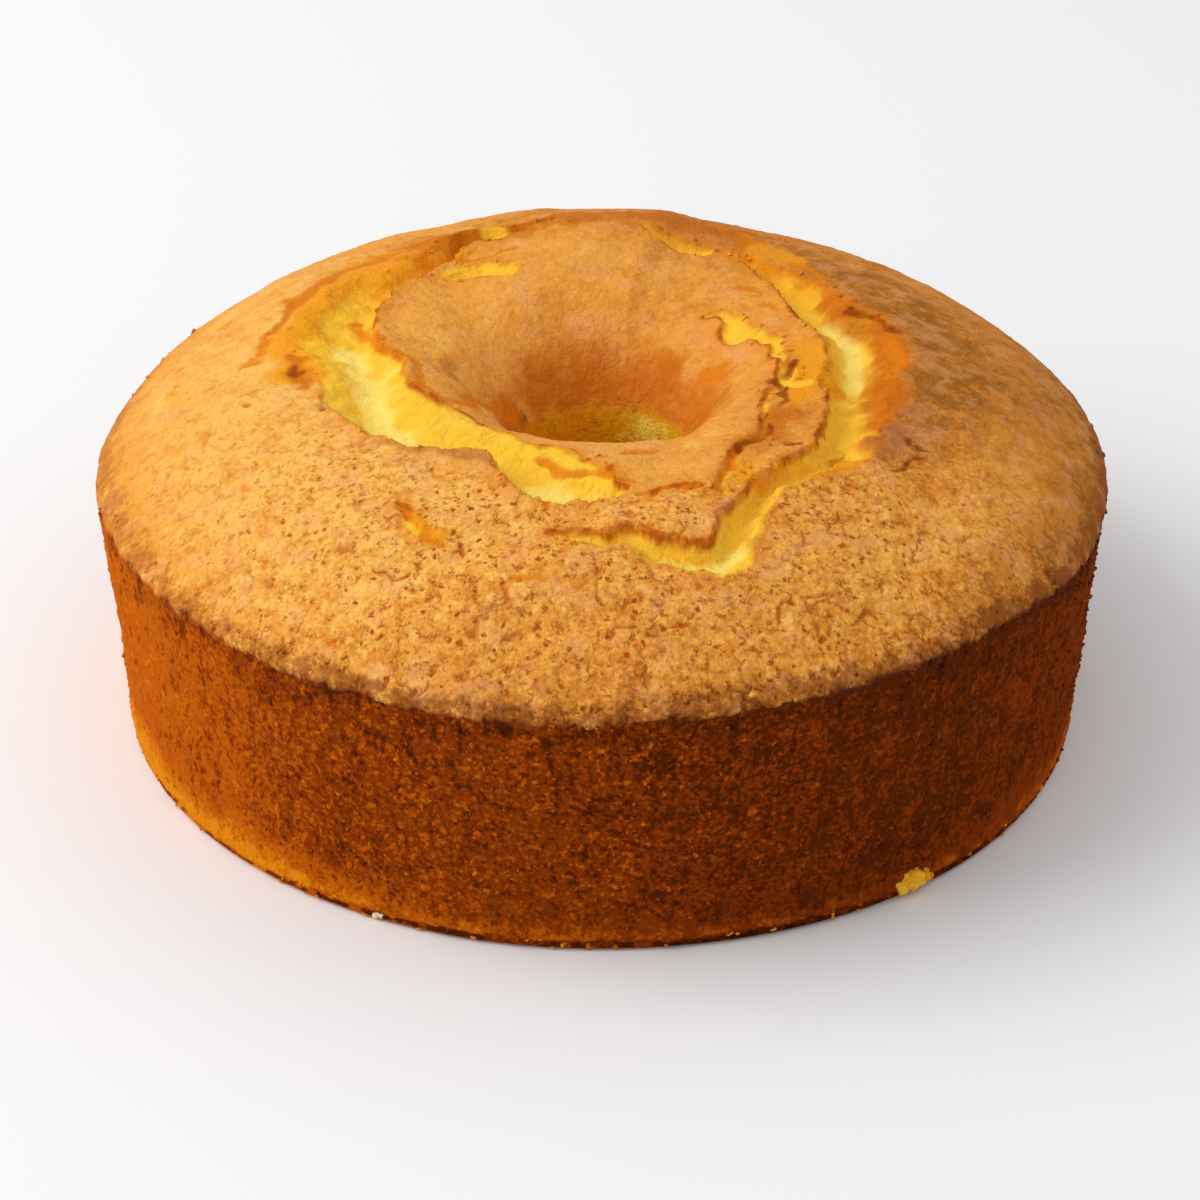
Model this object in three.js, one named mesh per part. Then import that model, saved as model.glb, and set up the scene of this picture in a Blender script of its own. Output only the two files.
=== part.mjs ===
// A round ring cake, baked in a 24 cm tube tin and turned out, standing the way it was baked.
// Millimetres and degrees, +Z up. The origin is the middle of the flat base.
// Angles turn anticlockwise seen from above: 0 is right, 90 back, 180 left and 270 front.

import * as THREE from 'three';

const { clamp, degToRad, euclideanModulo, lerp, smoothstep } = THREE.MathUtils;

// Driving dimensions.
const rimRadius = 120;
const sideHeight = 63;
const baseRadius = 115;
const baseCornerRadius = 2;
const crestRadius = 62;
const crestHeight = 88;
const throatRadius = 20;
const throatHeight = 66;
const holeBaseRadius = 27;

// How the turned outline curves. The shoulder falls off late, the funnel steepens towards the
// throat, the side stays narrow and then flares under the rim, and the hole opens downwards.
const shoulderFullness = 0.85;
const funnelFullness = 3.6;
const sideFlare = 1.5;
const holeFlare = 1.3;

// Mesh steps. Rings stand close together near the rim and over the torn belt of the top.
const angleSteps = 112;
const sideRings = 7;
const holeRings = 4;
const shoulderRings = 9;
const shoulderCrowding = 1.5;
const beltOuterRadius = 90;
const beltInnerRadius = 40;
const beltRingStep = 3;
const funnelRings = 7;

// How the real cake departs from a turned shape, as pairs of an angle and a difference.
const rimRise = [
  [15, -0.8], [45, -1.8], [90, 0], [140, 0.8], [167, -1], [203, 1.6],
  [240, 0.2], [262, -0.5], [284, 1.5], [313, 2.5], [342, -1.8],
];
const crestRise = [[0, 0], [66, -0.6], [73, 0.4], [80, 2.6], [98, 3.2], [116, 1.6], [136, 0], [270, 0]];
const throatRise = [[90, 0], [225, 0], [270, 1.5], [315, 0]];
const rimReach = [[0, 0], [20, -0.3], [45, 0], [140, 0], [165, -0.6], [200, 0], [270, 0], [320, 0.6]];
const baseReach = [[0, 0.4], [45, 0], [135, 0], [180, 0.6], [225, 0.9], [270, 1.2], [315, 2.1]];

// Where the crust tore open as the cake rose. Each tear runs through stations of an angle, a
// distance from the middle and a width. The lip is how far its outer edge curls up.
const tears = {
  leftCrescent: {
    depth: 5,
    lip: 1.2,
    stations: [
      [100, 72, 3], [117, 71.5, 7], [126, 69.5, 10], [135, 67, 12], [145, 69, 14], [155, 68, 17],
      [165, 66, 19], [175, 61.5, 20], [185, 57.5, 20], [195, 56, 22], [205, 55, 25], [215, 53.5, 24],
      [225, 50, 22], [235, 48.5, 17], [243, 49.5, 13], [250, 52, 18], [258, 57, 22], [264, 61, 19],
      [270, 63, 9], [275, 63.5, 3],
    ],
  },
  frontHook: {
    depth: 4,
    lip: 0.8,
    stations: [
      [263, 80, 2], [268, 81, 4], [273, 81.5, 5], [277, 85, 6], [281, 88, 8], [285, 90, 8],
      [289, 88.5, 9], [292, 83, 9], [295, 77.5, 8], [300, 72.5, 8], [306, 70.5, 7], [312, 69.5, 8],
      [317, 69, 9], [323, 70, 13],
    ],
  },
  rightBand: {
    depth: 4.5,
    lip: 1,
    stations: [
      [320, 69, 11], [330, 66.5, 14], [340, 62, 15], [350, 61.5, 17], [360, 62.5, 18], [370, 63.5, 19],
      [378, 62, 19], [387, 59.5, 15], [396, 62, 13], [405, 64, 10], [415, 66, 7], [423, 67, 3],
    ],
  },
  innerRight: {
    depth: 2.5,
    lip: 0.4,
    stations: [
      [406, 38, 2], [400, 38.5, 5], [392, 39, 7], [384, 41, 4], [372, 42.5, 2.5], [360, 42.5, 3],
      [350, 44, 5], [338, 41.5, 2], [325, 45, 2.5], [312, 54, 3], [301, 57.5, 3.5], [292, 71, 2],
    ],
  },
  backSpot: { depth: 2, lip: 0.5, stations: [[80, 66, 3], [75, 66, 7], [70, 65, 6], [66, 66, 3]] },
  backLeftSpot: { depth: 2, lip: 0.5, stations: [[114, 55, 3], [121, 56, 6], [129, 56, 3]] },
  frontGash: { depth: 2, lip: 0.4, stations: [[234, 78, 2], [239, 81, 5], [243, 85, 3]] },
};
const tearPathDivisions = 6;
const tearWallWidth = 2.4;
const tearLipWidth = 4;

// Plates of crust that the rising crumb has pushed up: angle, distance, spread and rise.
const plates = [[281, 76, 12, 1.2], [305, 64, 7, 0.8], [242, 59, 6, 0.8], [90, 76, 14, 0.6]];

// Shallow swells that run round the top and the side, and die out towards the rim and the throat.
const swells = [
  { turns: 5, phase: 40, height: 0.5 },
  { turns: 9, phase: 110, height: 0.3 },
  { turns: 14, phase: 200, height: 0.2 },
];
const swellEdgeWidth = 12;

// The value of a table of pairs at any angle, with an even curve from each pair to the next.
function around(pairs, angle) {
  const turned = euclideanModulo(angle - pairs[0][0], 360) + pairs[0][0];
  const next = pairs.findIndex(([at]) => at > turned);
  const [fromAngle, fromValue] = pairs[next < 0 ? pairs.length - 1 : next - 1];
  const [toAngle, toValue] = next < 0 ? [pairs[0][0] + 360, pairs[0][1]] : pairs[next];
  return lerp(fromValue, toValue, smoothstep(turned, fromAngle, toAngle));
}

function swell(angle) {
  return swells.reduce(
    (sum, { turns, phase, height }) => sum + height * Math.sin(degToRad(turns * angle + phase)),
    0,
  );
}

// A tear's middle line as points whose z is half the tear's width there.
function tearPath({ stations }) {
  const points = stations.map(([angle, radius, width]) => new THREE.Vector3(
    radius * Math.cos(degToRad(angle)),
    radius * Math.sin(degToRad(angle)),
    width / 2,
  ));
  const curve = new THREE.CatmullRomCurve3(points, false, 'catmullrom');
  return curve.getPoints((points.length - 1) * tearPathDivisions);
}

const tearPaths = Object.values(tears).map((tear) => ({ ...tear, path: tearPath(tear) }));

// How far a point seen from above lies inside a tear's edge, or outside it where negative.
function insideTear(x, y, path) {
  let inside = -Infinity;
  for (let step = 1; step < path.length; step += 1) {
    const from = path[step - 1];
    const to = path[step];
    const runX = to.x - from.x;
    const runY = to.y - from.y;
    const along = clamp(((x - from.x) * runX + (y - from.y) * runY) / (runX * runX + runY * runY), 0, 1);
    const distance = Math.hypot(x - from.x - along * runX, y - from.y - along * runY);
    inside = Math.max(inside, lerp(from.z, to.z, along) - distance);
  }
  return inside;
}

// The tears, lips and plates together, as a height added to the smooth top.
function relief(x, y) {
  let deepest = 0;
  let lift = 0;
  for (const { depth, lip, path } of tearPaths) {
    const inside = insideTear(x, y, path);
    deepest = Math.max(deepest, depth * smoothstep(inside, -tearWallWidth / 2, tearWallWidth));
    lift = Math.max(lift, lip * Math.exp(-((inside / tearLipWidth) ** 2)));
  }
  for (const [angle, radius, spread, rise] of plates) {
    const awayX = x - radius * Math.cos(degToRad(angle));
    const awayY = y - radius * Math.sin(degToRad(angle));
    lift += rise * Math.exp(-(awayX * awayX + awayY * awayY) / (spread * spread));
  }
  return lift - deepest;
}

// Height of the smooth top at an angle and a distance from the middle.
function topHeight(angle, radius, rim, rimHeight) {
  const crest = crestHeight + around(crestRise, angle);
  const throat = throatHeight + around(throatRise, angle);
  if (radius > crestRadius) {
    const outward = clamp((radius - crestRadius) / (rim - crestRadius), 0, 1);
    return rimHeight + (crest - rimHeight) * (1 - outward ** 2) ** shoulderFullness;
  }
  const inward = clamp((crestRadius - radius) / (crestRadius - throatRadius), 0, 1);
  return crest - (crest - throat) * inward ** funnelFullness;
}

// Distances of the top's rings from the middle, rim first.
function topRadii() {
  const shoulder = Array.from({ length: shoulderRings }, (_, ring) => {
    const share = (ring + 1) / shoulderRings;
    return lerp(rimRadius, beltOuterRadius, share ** shoulderCrowding);
  });
  const belt = [];
  for (let radius = beltOuterRadius - beltRingStep; radius > beltInnerRadius; radius -= beltRingStep) {
    belt.push(radius);
  }
  const funnel = Array.from({ length: funnelRings }, (_, ring) => {
    const share = ring / (funnelRings - 1);
    return lerp(beltInnerRadius, throatRadius, Math.sin(share * Math.PI / 2));
  });
  return [...shoulder, ...belt, ...funnel];
}

// One closed outline of the ring at an angle: base, side, top and hole, as pairs of radius and height.
function outline(angle, radii) {
  const base = baseRadius + around(baseReach, angle);
  const rim = rimRadius + around(rimReach, angle);
  const rimHeight = sideHeight + around(rimRise, angle);
  const cornerInset = baseCornerRadius * (1 - Math.SQRT1_2);
  const points = [
    [holeBaseRadius, 0],
    [(holeBaseRadius + base) / 2, 0],
    [base - baseCornerRadius, 0],
    [base - cornerInset, cornerInset],
  ];
  for (let ring = 0; ring <= sideRings; ring += 1) {
    const height = lerp(baseCornerRadius, rimHeight, ring / sideRings);
    const wave = swell(angle * 2 + height) * Math.sin(Math.PI * ring / sideRings);
    points.push([lerp(base, rim, (height / rimHeight) ** sideFlare) + wave, height]);
  }
  for (const radius of radii) {
    const stretched = radius + (rim - rimRadius) * smoothstep(radius, beltOuterRadius, rimRadius);
    const x = radius * Math.cos(degToRad(angle));
    const y = radius * Math.sin(degToRad(angle));
    const fromEdges = Math.min(rimRadius - radius, radius - throatRadius);
    const wave = swell(angle + radius) * smoothstep(fromEdges, 0, swellEdgeWidth);
    points.push([stretched, topHeight(angle, stretched, rim, rimHeight) + wave + relief(x, y)]);
  }
  const throat = points[points.length - 1][1];
  for (let ring = 1; ring <= holeRings; ring += 1) {
    const down = ring / (holeRings + 1);
    points.push([lerp(throatRadius, holeBaseRadius, down ** holeFlare), throat * (1 - down)]);
  }
  return points;
}

// The ring as one closed skin: every outline is joined to the next, the last one to the first.
function cakeGeometry() {
  const radii = topRadii();
  const positions = [];
  let ringPoints = 0;
  for (let step = 0; step < angleSteps; step += 1) {
    const angle = 360 * step / angleSteps;
    const points = outline(angle, radii);
    ringPoints = points.length;
    for (const [radius, height] of points) {
      positions.push(radius * Math.cos(degToRad(angle)), radius * Math.sin(degToRad(angle)), height);
    }
  }
  const index = [];
  for (let step = 0; step < angleSteps; step += 1) {
    const here = step * ringPoints;
    const there = ((step + 1) % angleSteps) * ringPoints;
    for (let point = 0; point < ringPoints; point += 1) {
      const after = (point + 1) % ringPoints;
      index.push(here + point, there + point, there + after);
      index.push(here + point, there + after, here + after);
    }
  }
  const geometry = new THREE.BufferGeometry();
  geometry.setAttribute('position', new THREE.Float32BufferAttribute(positions, 3));
  geometry.setIndex(index);
  geometry.computeBoundingBox();
  const middle = geometry.boundingBox.getCenter(new THREE.Vector3());
  geometry.translate(-middle.x, -middle.y, 0);
  geometry.computeVertexNormals();
  return geometry;
}

function bakedCrust() {
  return new THREE.MeshStandardMaterial({ color: 0xd79a48, roughness: 0.75, metalness: 0 });
}

const cake = new THREE.Mesh(cakeGeometry(), bakedCrust());
cake.name = 'cake';

const ringCake = new THREE.Group();
ringCake.name = 'ring_cake';
ringCake.add(cake);

export default ringCake;
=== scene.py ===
import math

import bmesh
import bpy
import numpy as np
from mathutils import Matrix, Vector


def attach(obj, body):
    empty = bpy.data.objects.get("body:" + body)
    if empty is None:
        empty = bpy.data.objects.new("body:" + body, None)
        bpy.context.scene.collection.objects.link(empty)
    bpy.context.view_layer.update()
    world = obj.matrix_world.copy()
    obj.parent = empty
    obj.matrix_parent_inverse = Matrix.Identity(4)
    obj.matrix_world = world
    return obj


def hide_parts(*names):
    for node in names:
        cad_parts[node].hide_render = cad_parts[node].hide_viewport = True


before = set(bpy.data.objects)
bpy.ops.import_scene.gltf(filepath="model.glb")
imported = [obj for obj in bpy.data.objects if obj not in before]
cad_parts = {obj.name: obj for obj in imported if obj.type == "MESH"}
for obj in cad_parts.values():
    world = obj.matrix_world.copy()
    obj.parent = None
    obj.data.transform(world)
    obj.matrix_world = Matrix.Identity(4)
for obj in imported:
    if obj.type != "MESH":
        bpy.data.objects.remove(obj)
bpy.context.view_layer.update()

mm = 0.001  # shapes are worked out in millimetres, and meshes are written in metres

# The whole cake: a ring from a 24 cm tube tin. Angles turn anticlockwise from above, and 0 is right,
# 90 back, 180 left, 270 front. The tables of rise and reach hold pairs of an angle and a difference.
cakeForm = {
    "rimRadius": 120.0,
    "sideHeight": 63.0,
    "baseRadius": 115.0,
    "baseCornerRadius": 2.0,
    "crestRadius": 62.0,
    "crestHeight": 88.0,
    "throatRadius": 20.0,
    "throatHeight": 66.0,
    "holeBaseRadius": 27.0,
    "shoulderFullness": 0.85,
    "funnelFullness": 3.6,
    "sideFlare": 1.5,
    "holeFlare": 1.3,
    "rimRise": [(15, -0.8), (45, -1.8), (90, 0), (140, 0.8), (167, -1), (203, 1.6),
                (240, 0.2), (262, -0.5), (284, 1.5), (313, 2.5), (342, -1.8)],
    "crestRise": [(0, 0), (66, -0.6), (73, 0.4), (80, 2.6), (98, 3.2), (116, 1.6), (136, 0), (270, 0)],
    "throatRise": [(90, 0), (225, 0), (270, 1.5), (315, 0)],
    "rimReach": [(0, 0), (20, -0.3), (45, 0), (140, 0), (165, -0.6), (200, 0), (270, 0), (320, 0.6)],
    "baseReach": [(0, 0.4), (45, 0), (135, 0), (180, 0.6), (225, 0.9), (270, 1.2), (315, 2.1)],
    "swells": [(5, 40, 0.5), (9, 110, 0.3), (14, 200, 0.2)],  # turns, phase, height
    "swellEdge": 12.0,
    "beltOuterRadius": 90.0,
}

# Tears in the top crust. A station is an angle, a distance from the middle, a width and a lean:
# where the floor is deepest, from -1 at the inner edge to 1 at the outer edge.
tears = {
    "leftCrescent": {
        "depth": 5.0,
        "lip": 1.0,
        "stations": [
            (100, 72, 3, 0), (117, 71.5, 7, 0), (126, 69.5, 10, -0.4), (135, 67, 12, -0.6),
            (145, 69, 14, -0.6), (155, 68, 17, -0.6), (165, 66, 19, -0.6), (175, 61.5, 20, -0.5),
            (185, 57.5, 20, -0.4), (195, 56, 22, -0.2), (205, 55, 25, 0.2), (215, 53.5, 24, 0.5),
            (225, 50, 22, 0.6), (235, 48.5, 17, 0.6), (243, 49.5, 13, 0.6), (250, 52, 18, 0.6),
            (258, 57, 22, 0.4), (264, 61, 19, 0.2), (270, 63, 9, 0), (275, 63.5, 3, 0),
        ],
    },
    "frontHook": {
        "depth": 4.5,
        "lip": 0.5,
        "stations": [
            (263, 80, 2, -0.5), (268, 81, 4.2, -0.5), (273, 81.6, 5.3, -0.5), (277, 85.2, 6.5, -0.6),
            (281, 88.4, 8.9, -0.7), (285, 90.5, 9.4, -0.7), (289, 89, 10, -0.5), (292, 83, 9.2, -0.3),
            (295, 77.5, 8, -0.3), (300, 72.5, 8, -0.3), (306, 70.5, 7, -0.3), (312, 69.5, 8, -0.3),
            (317, 69, 9, -0.3), (323, 70, 13, -0.3),
        ],
    },
    "rightBand": {
        "depth": 5.0,
        "lip": 0.8,
        "stations": [
            (320, 69, 11, -0.3), (330, 66.5, 14, -0.4), (340, 62, 15, -0.5), (350, 61.5, 17, -0.5),
            (360, 62.5, 18, -0.5), (370, 63.5, 19, -0.5), (378, 62, 19, -0.5), (387, 59.5, 15, -0.4),
            (396, 62, 13, -0.3), (405, 64, 10, -0.3), (415, 66, 7, 0), (423, 67, 3, 0),
        ],
    },
    "innerRight": {
        "depth": 2.0,
        "lip": 0.2,
        "stations": [
            (406, 38, 2, 0), (400, 38.5, 5, 0), (392, 39, 7, 0), (384, 41, 4, 0), (372, 42.5, 2.5, 0),
            (360, 42.5, 3, 0), (350, 44, 5, 0), (338, 41.5, 2, 0), (325, 45, 2.5, 0), (312, 54, 3, 0),
            (301, 57.5, 3.5, 0), (292, 71, 2, 0),
        ],
    },
    "backSpot": {
        "depth": 2.2,
        "lip": 0.4,
        "stations": [(80, 66, 3, 0), (75, 66, 7, 0), (70, 65, 6, 0), (66, 66, 3, 0)],
    },
    "backLeftSpot": {
        "depth": 2.2,
        "lip": 0.4,
        "stations": [(114, 52, 3, 0), (121, 54, 7, 0), (129, 57, 4, 0)],
    },
    "frontGash": {
        "depth": 1.4,
        "lip": 0.3,
        "stations": [(237.5, 80.5, 1.2, 0), (240, 84, 2.6, 0), (242, 86, 1.6, 0)],
    },
    "plateGash": {
        "depth": 1.2,
        "lip": 0.2,
        "stations": [(279, 67, 1.5, 0), (283, 66, 2.4, 0), (290, 66.5, 1.5, 0)],
    },
}

# How ragged the edges are: how many mm they wander, by lumps that have a share, a size and a shift each.
tearWarp = [
    (1.7, [(1.0, 6.5, 0), (0.5, 3.5, 5)]),
    (0.7, [(1.0, 3.2, 9)]),
]

tearShape = {
    "pathDivisions": 4,
    "neighbourhood": 16.0,      # how far round a tear its effect is worked out
    "lipWidth": 3.0,
    "lipFade": (1.5, 0.9),      # a lip fades out where the wall beside it is gentle
    "leastWall": 2.2,
    "wallRange": (-0.4, 0.9),   # mm from the edge where a wall starts, and the share of it that slopes
    "fullHalfWidth": 4.0,       # a narrower tear is shallower
}

farOutside = -30.0  # mm, standing for a place nowhere near a tear, the rim or the hole

# Plates of crust that the crumb has pushed up: angle, distance, spread and rise.
plates = [(281, 76, 12, 1.2), (305, 64, 7, 0.8), (242, 59, 6, 0.8), (90, 76, 14, 0.6)]

# Marks on the top, most left by the oven, and blush patches that are partly painted highlight: each line is
# half its width and its points, as angle and distance.
# The groove, in mm, is cut along the lines. The reach says how strong a mark is before it shows and
# when it shows most, the cover how much of the crust it hides, and ragged how far its edge breaks up.
topMarks = {
    "golden": {
        "tint": "golden", "groove": 0.0, "reach": (0.0, 0.9), "cover": 0.92, "ragged": 0.7,
        "lines": [
            (7.5, [(184, 72), (171, 75), (154, 78), (142, 75), (133, 72), (124, 69)]),
            (4.0, [(344, 48), (334, 47)]),
            (4.5, [(6, 50), (347, 52)]),
            (2.2, [(240, 84), (245, 86)]),
            (5.0, [(60, 76), (50, 74)]),
            (4.0, [(300, 66), (308, 70), (318, 72)]),
        ],
    },
    "rust": {
        "tint": "rust", "groove": 0.0, "reach": (0.0, 1.1), "cover": 0.85, "ragged": 0.7,
        "lines": [
            (7.0, [(125, 22), (90, 22), (50, 22), (15, 23), (352, 24)]),
            (6.2, [(324, 49), (316, 53), (309, 54)]),
            (9.5, [(124, 77), (111, 74), (98, 74), (82, 75), (75, 78), (66, 80)]),
            (4.0, [(164, 22), (200, 22), (228, 23)]),
            (2.2, [(0, 44), (356, 45)]),
            (4.6, [(31, 64), (20, 66), (12, 68), (0, 69), (348, 70), (334, 71)]),
            (4.8, [(4, 68), (355, 66), (346, 65), (339, 69)]),
            (2.8, [(178, 73), (189, 71)]),
            (2.2, [(146, 82), (156, 83), (166, 81)]),
        ],
    },
    "yellow": {
        "tint": "crumbYellow", "groove": 0.0, "reach": (0.1, 0.9), "cover": 0.9, "ragged": 0.8,
        "lines": [
            (2.6, [(128, 58), (124, 54), (116, 50)]),
            (1.6, [(112, 74), (106, 71)]),
            (1.8, [(76, 64), (70, 66)]),
            (2.4, [(37, 38), (30, 40), (24, 42)]),
            (2.0, [(345, 45), (346, 49)]),
            (2.2, [(304, 71), (310, 69), (314, 70)]),
            (1.3, [(240, 85), (242, 86)]),
        ],
    },
    "pale": {
        "tint": "crumbPale", "groove": 0.0, "reach": (0.2, 1.4), "cover": 0.3, "ragged": 0.5,
        "lines": [
            (4.6, [(172, 61), (182, 58), (190, 55), (199, 54), (209, 58), (220, 58)]),
            (3.4, [(256, 60), (262, 63), (268, 65)]),
            (2.8, [(279, 89), (284, 91), (289, 89)]),
            (3.2, [(22, 61), (8, 61), (355, 60)]),
        ],
    },
    # pinkish patches: partly the crust's own blush, partly painted highlight
    "blushHighlight": {
        "tint": "blushHighlight", "groove": 0.0, "reach": (0.0, 1.2), "cover": 0.38, "ragged": 0.7,
        "lines": [
            (3.5, [(96, 30), (84, 30)]),
            (3.0, [(27, 34), (23, 35)]),
            (2.6, [(304, 66), (303, 65)]),
            (3.5, [(336, 77), (330, 78)]),
            (2.2, [(292, 74), (288, 80)]),
            (2.4, [(292, 97), (296, 93), (302, 89)]),
            (2.6, [(262, 95), (268, 97)]),
            (2.2, [(232, 70), (240, 70)]),
        ],
    },
    "toast": {
        "tint": "toast", "groove": 0.0, "reach": (0.1, 1.3), "cover": 0.65, "ragged": 1.0,
        "lines": [
            (2.0, [(222, 66), (230, 60), (236, 59), (244, 60)]),
            (1.6, [(246, 60), (251, 62), (256, 68)]),
            (4.5, [(344, 76), (334, 77), (324, 77)]),
            (2.6, [(174, 37), (183, 34)]),
        ],
    },
    "orange": {
        "tint": "crumbOrange", "groove": 0.45, "reach": (0.05, 1.0), "cover": 0.85, "ragged": 1.3,
        "lines": [
            (1.8, [(176, 82), (166, 80), (158, 83), (148, 83), (140, 80), (130, 79), (124, 75)]),
            (1.5, [(156, 64), (164, 58), (174, 51), (183, 45), (190, 43), (208, 41)]),
            (1.9, [(206, 39), (204, 35), (190, 29), (178, 25), (165, 22)]),
            (1.2, [(128, 64), (117, 60), (109, 61)]),
            (1.4, [(215, 74), (216, 74)]),
            (1.2, [(224, 74), (225, 74)]),
            (2.0, [(64, 82), (60, 71)]),
            (1.6, [(47, 73), (41, 72)]),
            (2.0, [(8, 70), (354, 70)]),
            (1.6, [(49, 54), (46, 53)]),
            (1.4, [(38, 46), (35, 49), (31, 50)]),
            (2.4, [(30, 28), (22, 29)]),
            (1.4, [(303, 56), (298, 60), (292, 69)]),
            (1.8, [(324, 68), (320, 69)]),
            (1.6, [(339, 71), (336, 71)]),
            (1.5, [(255, 50), (260, 53), (264, 54), (271, 56)]),
            (1.3, [(275, 59), (278, 59)]),
            (1.4, [(277, 47), (284, 46)]),
            (1.1, [(280, 68), (283, 65)]),
            (1.1, [(286, 67), (290, 66)]),
            (1.8, [(250, 61), (255, 63)]),
            (1.0, [(260, 70), (262, 72)]),
            (1.3, [(238, 82), (240, 84)]),
            (1.2, [(243, 86), (246, 88)]),
            (1.0, [(257, 96), (258, 94), (262, 94)]),
            (1.4, [(239, 115), (240, 116)]),
        ],
    },
    "scorch": {
        "tint": "scorch", "groove": 0.4, "reach": (0.1, 1.1), "cover": 0.8, "ragged": 1.0,
        "lines": [
            (1.5, [(181, 73), (184, 72)]),
            (1.3, [(199, 69), (202, 70)]),
            (1.1, [(150, 20), (165, 20), (200, 20), (228, 22)]),
            (1.7, [(24, 67), (18, 70), (12, 73)]),
            (1.3, [(0, 47), (354, 44)]),
            (1.3, [(350, 41), (333, 46), (329, 47)]),
            (1.2, [(319, 51), (314, 54), (308, 54), (303, 55)]),
            (1.0, [(313, 60), (315, 62)]),
            (1.1, [(320, 75), (321, 75)]),
            (1.1, [(331, 80), (333, 80)]),
            (0.9, [(331, 82), (332, 85)]),
            (0.9, [(330, 84), (326, 84), (322, 84)]),
        ],
    },
    "crack": {
        "tint": "pitBrownAndShade", "groove": 0.6, "reach": (0.1, 1.0), "cover": 0.75, "ragged": 1.2,
        "lines": [
            (0.5, [(270, 105), (272, 103), (274, 103), (277, 101)]),
            (0.4, [(278, 104), (281, 104)]),
            (0.7, [(258, 96), (259, 99), (256, 102)]),
            (0.5, [(247, 96), (250, 97)]),
            (0.4, [(272, 90), (270, 92), (270, 97)]),
            (0.4, [(291, 107), (292, 104), (294, 103)]),
            (0.4, [(296, 112), (297, 110), (300, 110), (302, 109)]),
            (0.5, [(296, 103), (298, 104)]),
            (0.5, [(248, 86), (250, 88)]),
            (0.4, [(240, 98), (243, 99), (244, 97)]),
            (0.7, [(262, 103), (262, 104)]),
            (0.6, [(254, 108), (254.5, 108)]),
            (0.6, [(262, 114), (262.5, 114)]),
            (0.6, [(305, 105), (305.5, 105)]),
            (0.8, [(192, 84), (192.6, 84)]),
            (0.7, [(235, 66), (235.6, 66)]),
        ],
    },
}
markWarp = [(0.4, 5.0), (0.35, 2.4)]  # shares of a mark's width that its edge wanders, and over how many mm
markFade = (0.1, 1.5)  # shares of its width at which a mark starts to fade and is gone
markReach = 3  # widths round a mark within which it is worked out
finalTriangles = 196000  # of each of the two crusts

topMesh = {
    "angleSteps": 1200,
    "underRings": 6,
    "topRings": 172,
    "topCrowding": 1.1,         # over 1, rings lie closer together at the rim
    "holeRings": 44,
    "underInset": (9.0, 10.0),  # how far the hidden underside keeps from the hole and from the rim
    "lipDrop": (1.3, 2.6),      # how far the crust hangs below the rim
    "lipReach": (0.0, 0.45),    # and how far it stands out from the side
    "lipNoise": (9.0, 2.4),     # sizes of the lip's bends and of its tatters
    "lipTuck": 1.4,             # how far its underside turns in
    "lipRound": 0.4,            # the share of its drop and reach at which it bends over
    "lipUnder": 0.3,            # how much lower its hidden edge lies
    "thickness": 9.0,
    "throatReach": 44.0,        # how far down the hole it goes
    "tail": (3.5, 0.5),         # how far it then turns outward and down, out of sight
}

sideMesh = {
    "angleSteps": 1200,
    "sideRings": 92,
    "holeRings": 20,
    "baseRings": 26,
    "baseRise": 0.7,            # how far the base arches between its edges
    "archReach": 12.0,          # how far in from its edges it reaches its full rise
    "cornerRings": 4,
    "rimGap": 1.0,              # how far under the rim the side ends
    "capRings": 6,
    "capCrowding": 1.4,
    "capInset": (1.5, 2.5),     # how far the hidden cap keeps from the rim and from the hole
    "capDepth": (1.2, 7.5),     # how far it lies under the top, at the rim and further in
    "capReach": 12.0,
    "capFoot": 1.5,             # how far above the end of the top crust's hole it starts
    "capRise": (26.0, 60.0),    # the distances from the middle between which it rises
    "holeOverlap": (0.8, 0.6),  # how far the hole reaches up behind the top crust, and steps back there
    "footGroove": 0.7,          # the gap left where the foot's corner crumbled
    "footGrooveHeight": 2.0,
    "footGrooveWidth": 0.7,
}


def smoothStep(value, low, high):
    share = np.clip((value - low) / (high - low), 0, 1)
    return share * share * (3 - 2 * share)


def mix(low, high, share):
    return low + (high - low) * share


def aroundRing(pairs, angle):  # the value of a table of pairs at any angle
    at = np.array([pair[0] for pair in pairs] + [pairs[0][0] + 360.0])
    value = np.array([pair[1] for pair in pairs] + [pairs[0][1]], float)
    turned = np.mod(angle - at[0], 360.0) + at[0]
    step = np.clip(np.searchsorted(at, turned, side="right") - 1, 0, len(pairs) - 1)
    return mix(value[step], value[step + 1], smoothStep(turned, at[step], at[step + 1]))


def inPlan(angle, radius):  # x and y of points that are given by their angle and distance
    turned = np.radians(angle)
    return radius * np.cos(turned), radius * np.sin(turned)


def swell(angle):
    return sum(height * np.sin(np.radians(turns * angle + phase))
               for turns, phase, height in cakeForm["swells"])


noiseCells = 64
noiseLattice = np.random.default_rng(7).uniform(-1, 1, (noiseCells,) * 3)


def softNoise(x, y, z, size, shift=0.0):  # smooth noise from -1 to 1, lumps about size mm wide
    place = np.stack(np.broadcast_arrays(x, y, z), -1) / size + shift
    cell = np.floor(place).astype(int)
    part = place - cell
    part = part * part * (3 - 2 * part)
    total = 0.0
    for corner in range(8):
        step = np.array([corner & 1, corner >> 1 & 1, corner >> 2 & 1])
        weight = np.prod(np.where(step, part, 1 - part), -1)
        at = (cell + step) % noiseCells
        total = total + weight * noiseLattice[at[..., 0], at[..., 1], at[..., 2]]
    return total


def warped(x, y):  # the place a ragged edge is read at
    moved = []
    for axis, shift in ((x, 3.1), (y, 23.7)):
        for reach, lumps in tearWarp:
            axis = axis + reach * sum(share * softNoise(x, y, 0.0, size, shift + more)
                                      for share, size, more in lumps)
        moved.append(axis)
    return moved


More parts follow.
